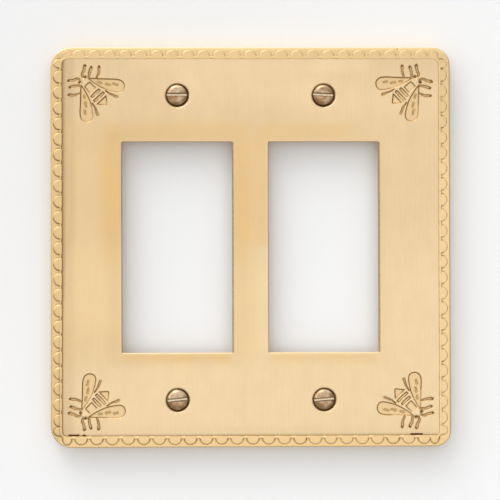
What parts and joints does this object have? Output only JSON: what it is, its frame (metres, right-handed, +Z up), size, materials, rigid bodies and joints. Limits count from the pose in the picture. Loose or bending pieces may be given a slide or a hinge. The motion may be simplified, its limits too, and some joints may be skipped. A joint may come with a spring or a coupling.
{
  "type": "wall plate cover",
  "caption": "Square brass wall plate for side-by-side decorator switches, with a scalloped border, engraved bees in the corners and oval-head screws.",
  "frame": {"origin": "centre of the four-screw pattern, on the plane of the wall behind the plate", "axes": "+X to the right as seen from the front, +Y into the wall, +Z up the plate"},
  "size_m": [0.127, 0.0135, 0.127],
  "materials": {
    "panel_brass": "brushed satin",
    "border_brass": "worn satin with dark recesses",
    "screw_brass": "antique, blotched patina"
  },
  "bodies": {
    "plate": {"face_panel": "panel_brass", "border_rail_top": "border_brass", "border_rail_right": "border_brass", "border_rail_bottom": "border_brass", "border_rail_left": "border_brass"},
    "screw_top_left": {"screw_top_left": "screw_brass"},
    "screw_top_right": {"screw_top_right": "screw_brass"},
    "screw_bottom_left": {"screw_bottom_left": "screw_brass"},
    "screw_bottom_right": {"screw_bottom_right": "screw_brass"}
  },
  "joints": [
    {"name": "screw_top_left_travel", "type": "slide", "parent": "plate", "child": "screw_top_left", "axis": [0, -1, 0], "range_m": [0, 0.014]},
    {"name": "screw_top_right_travel", "type": "slide", "parent": "plate", "child": "screw_top_right", "axis": [0, -1, 0], "range_m": [0, 0.014]},
    {"name": "screw_bottom_left_travel", "type": "slide", "parent": "plate", "child": "screw_bottom_left", "axis": [0, -1, 0], "range_m": [0, 0.014]},
    {"name": "screw_bottom_right_travel", "type": "slide", "parent": "plate", "child": "screw_bottom_right", "axis": [0, -1, 0], "range_m": [0, 0.014]}
  ]
}
